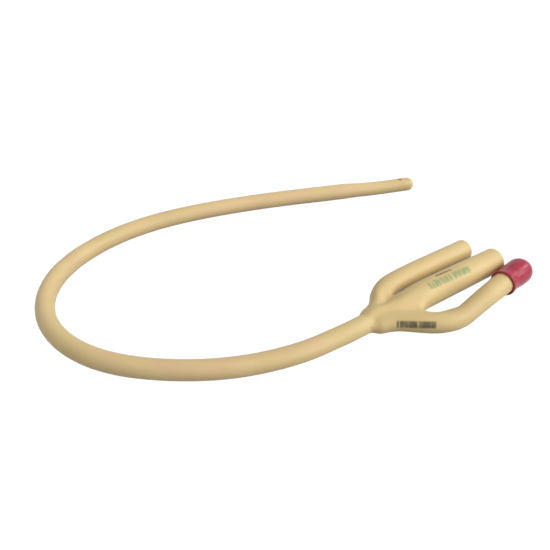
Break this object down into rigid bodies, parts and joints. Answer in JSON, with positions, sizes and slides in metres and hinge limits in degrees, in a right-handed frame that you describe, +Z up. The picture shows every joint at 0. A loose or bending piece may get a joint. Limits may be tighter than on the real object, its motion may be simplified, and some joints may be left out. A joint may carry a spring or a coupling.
{
  "type": "foley urinary catheter",
  "caption": "Balloon catheter: a flexible tube with a closed, eyed tip and a balloon sleeve, and a bored hub that forks into drainage, irrigation and valved inflation limbs.",
  "frame": {"origin": "on the table, under the middle of the moulded hub and its valve", "axes": "+X along the drainage funnel towards its mouth, +Y towards the irrigation limb, +Z up from the table"},
  "size_m": [0.1918, 0.134, 0.0109],
  "materials": {
    "amber_latex": "satin",
    "balloon_latex": "satin",
    "crimson_rubber": "satin"
  },
  "bodies": {
    "root": {"shaft_tube": "amber_latex", "balloon_cuff": "balloon_latex", "three_way_hub": "amber_latex", "inflation_valve": "crimson_rubber"}
  },
  "joints": []
}
